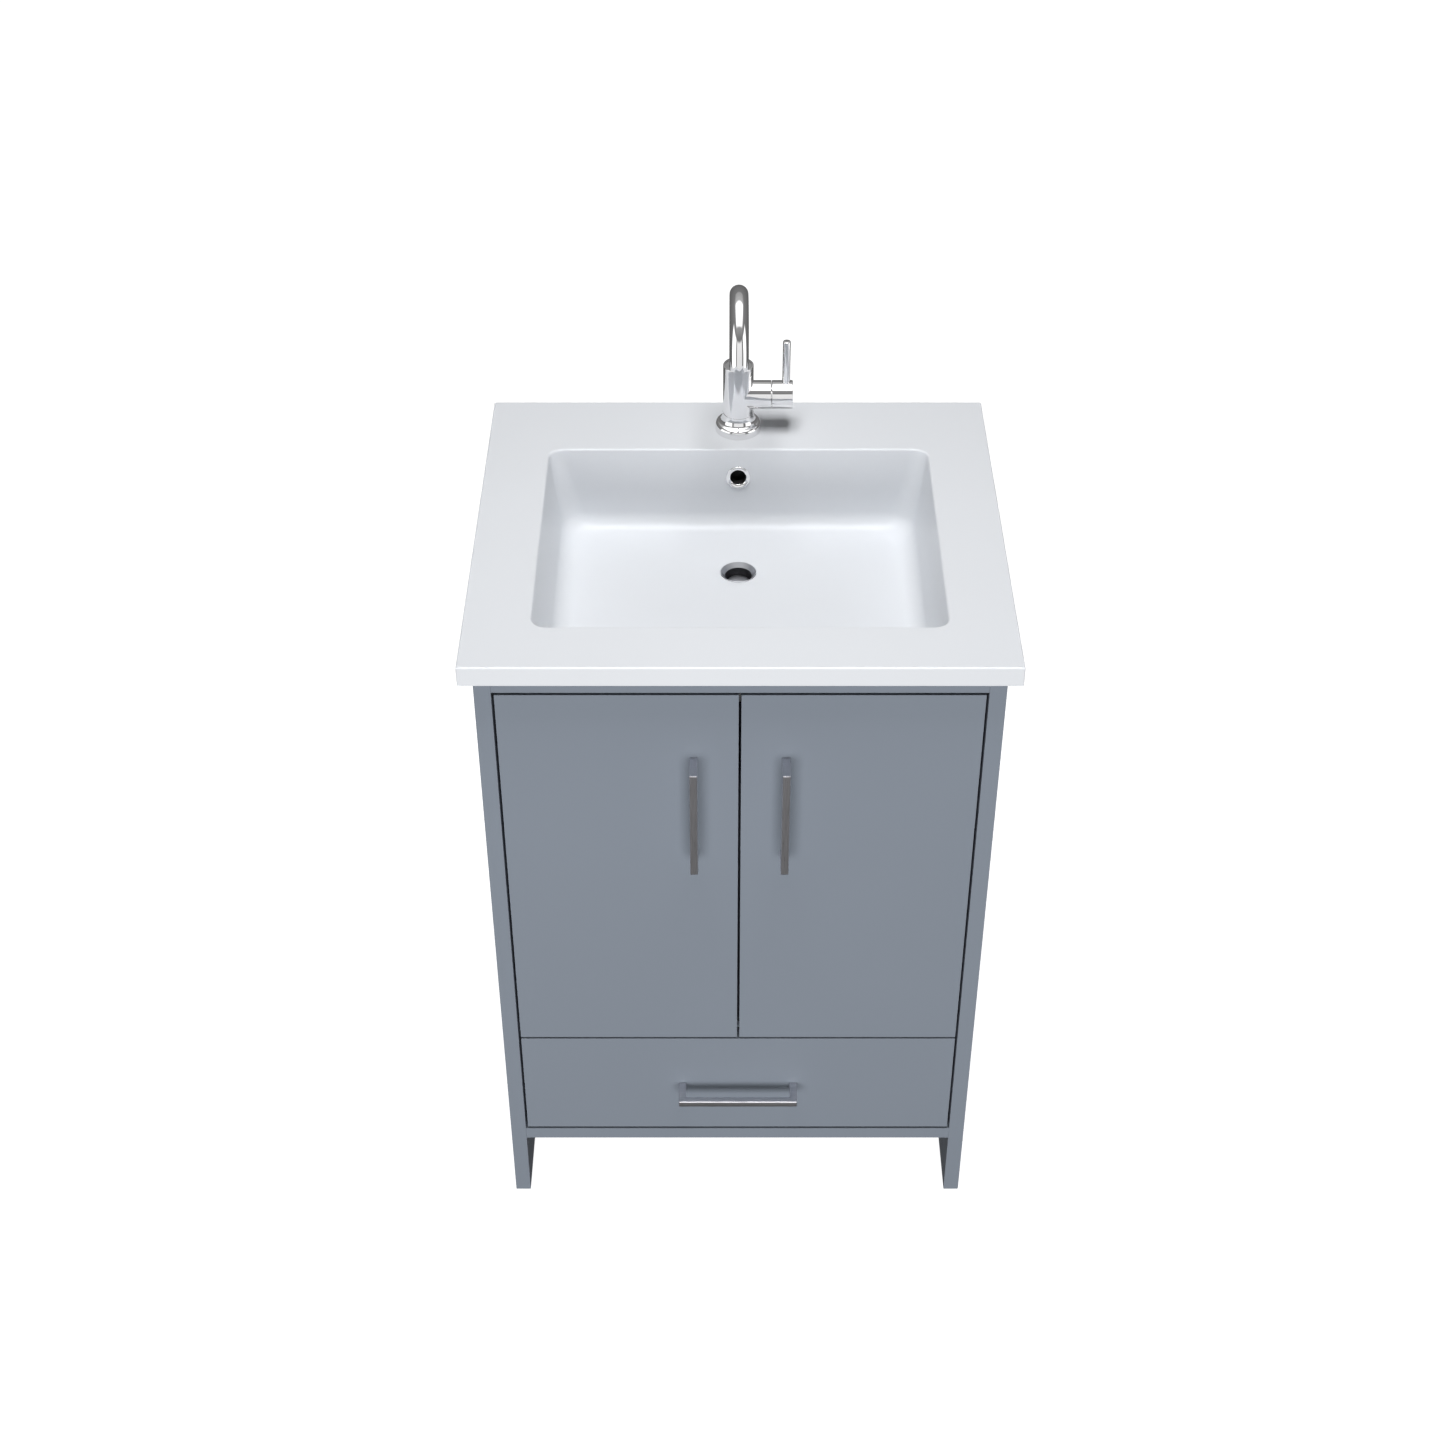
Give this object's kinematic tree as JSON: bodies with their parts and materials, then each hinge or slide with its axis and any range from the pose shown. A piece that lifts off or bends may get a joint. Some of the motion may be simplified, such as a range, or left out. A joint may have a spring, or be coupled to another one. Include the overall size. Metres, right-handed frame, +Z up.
{
  "type": "bathroom vanity cabinet",
  "caption": "Free-standing vanity: painted cabinet with two inset doors over a drawer, ceramic top with moulded basin, waste fittings and a gooseneck single-lever mixer tap.",
  "frame": {"origin": "on the floor, under the middle of the whole object's box, handles included", "axes": "+Z up, +Y towards the wall, +X to the right of someone facing the doors"},
  "size_m": [0.61, 0.564, 1.0946],
  "materials": {
    "paint": "satin blue-grey paint on board",
    "ceramic": "smooth white glaze",
    "chrome": "polished chrome plate",
    "brushed_nickel": "brushed nickel",
    "zinc_steel": "bright zinc-plated steel",
    "brass": "machined brass",
    "rubber": "black rubber",
    "birch": "clear-lacquered birch plywood",
    "plastic": "off-white acetal"
  },
  "bodies": {
    "cabinet": {"side_panel_left": "paint", "side_panel_right": "paint", "bottom_panel": "paint", "drawer_divider": "paint", "top_rail_front": "paint", "wall_rail_rear": "paint", "back_panel": "paint", "sink_top": "ceramic", "overflow_ring": "chrome", "drain_body": "chrome", "drain_gasket": "rubber", "drain_nut": "brass", "drain_tailpiece": "chrome", "tap_base": "chrome", "tap_gasket": "rubber", "tap_body": "chrome", "tap_shank": "brass", "tap_washer": "zinc_steel", "tap_nut": "brass", "hinge_plate_left_lower": "brushed_nickel", "hinge_arm_left_lower": "brushed_nickel", "hinge_plate_left_upper": "brushed_nickel", "hinge_arm_left_upper": "brushed_nickel", "slide_outer_left": "zinc_steel", "hinge_plate_right_lower": "brushed_nickel", "hinge_arm_right_lower": "brushed_nickel", "hinge_plate_right_upper": "brushed_nickel", "hinge_arm_right_upper": "brushed_nickel", "slide_outer_right": "zinc_steel"},
    "door_left": {"door_left_panel": "paint", "door_left_handle": "brushed_nickel", "door_left_handle_screw_1": "zinc_steel", "door_left_handle_screw_2": "zinc_steel", "door_left_hinge_cup_lower": "brushed_nickel", "door_left_hinge_cup_upper": "brushed_nickel"},
    "door_right": {"door_right_panel": "paint", "door_right_handle": "brushed_nickel", "door_right_handle_screw_1": "zinc_steel", "door_right_handle_screw_2": "zinc_steel", "door_right_hinge_cup_lower": "brushed_nickel", "door_right_hinge_cup_upper": "brushed_nickel"},
    "drawer": {"drawer_front": "paint", "drawer_handle": "brushed_nickel", "drawer_handle_screw_1": "zinc_steel", "drawer_handle_screw_2": "zinc_steel", "drawer_side_left": "birch", "drawer_side_right": "birch", "drawer_back": "birch", "drawer_base": "birch", "slide_inner_left": "zinc_steel", "slide_inner_right": "zinc_steel"},
    "slide_middles": {"slide_middle_left": "zinc_steel", "slide_middle_right": "zinc_steel"},
    "spout": {"spout_tube": "chrome", "spout_aerator": "plastic"},
    "valve_stem": {"valve_cartridge": "plastic"},
    "lever": {"lever_hub": "chrome", "lever_rod": "chrome"},
    "stopper": {"stopper_cap": "chrome", "stopper_seal": "rubber"}
  },
  "joints": [
    {"name": "door_left_hinge", "type": "hinge", "parent": "cabinet", "child": "door_left", "pos_m": [-0.266, -0.249, 0.289], "axis": [0, 0, -1], "range_deg": [0, 100]},
    {"name": "door_right_hinge", "type": "hinge", "parent": "cabinet", "child": "door_right", "pos_m": [0.266, -0.249, 0.289], "axis": [0, 0, 1], "range_deg": [0, 100]},
    {"name": "drawer_slide", "type": "slide", "parent": "cabinet", "child": "drawer", "axis": [0, -1, 0], "range_m": [0, 0.35]},
    {"name": "middle_slide", "type": "slide", "parent": "cabinet", "child": "slide_middles", "axis": [0, -1, 0], "range_m": [0, 0.175]},
    {"name": "spout_swivel", "type": "hinge", "parent": "cabinet", "child": "spout", "pos_m": [0, 0.219, 0.963], "axis": [0, 0, 1], "range_deg": [-60, 60]},
    {"name": "lever_temperature", "type": "hinge", "parent": "cabinet", "child": "valve_stem", "pos_m": [0.0404, 0.219, 0.9245], "axis": [1, 0, 0], "range_deg": [-45, 45]},
    {"name": "lever_flow", "type": "hinge", "parent": "valve_stem", "child": "lever", "pos_m": [0.0404, 0.219, 0.90725], "axis": [0, 1, 0], "range_deg": [0, 20]},
    {"name": "stopper_lift", "type": "slide", "parent": "cabinet", "child": "stopper", "axis": [0, 0, 1], "range_m": [0, 0.01]}
  ],
  "couplings": [
    {"joint": "middle_slide", "follows": "drawer_slide", "ratio": 0.5}
  ]
}
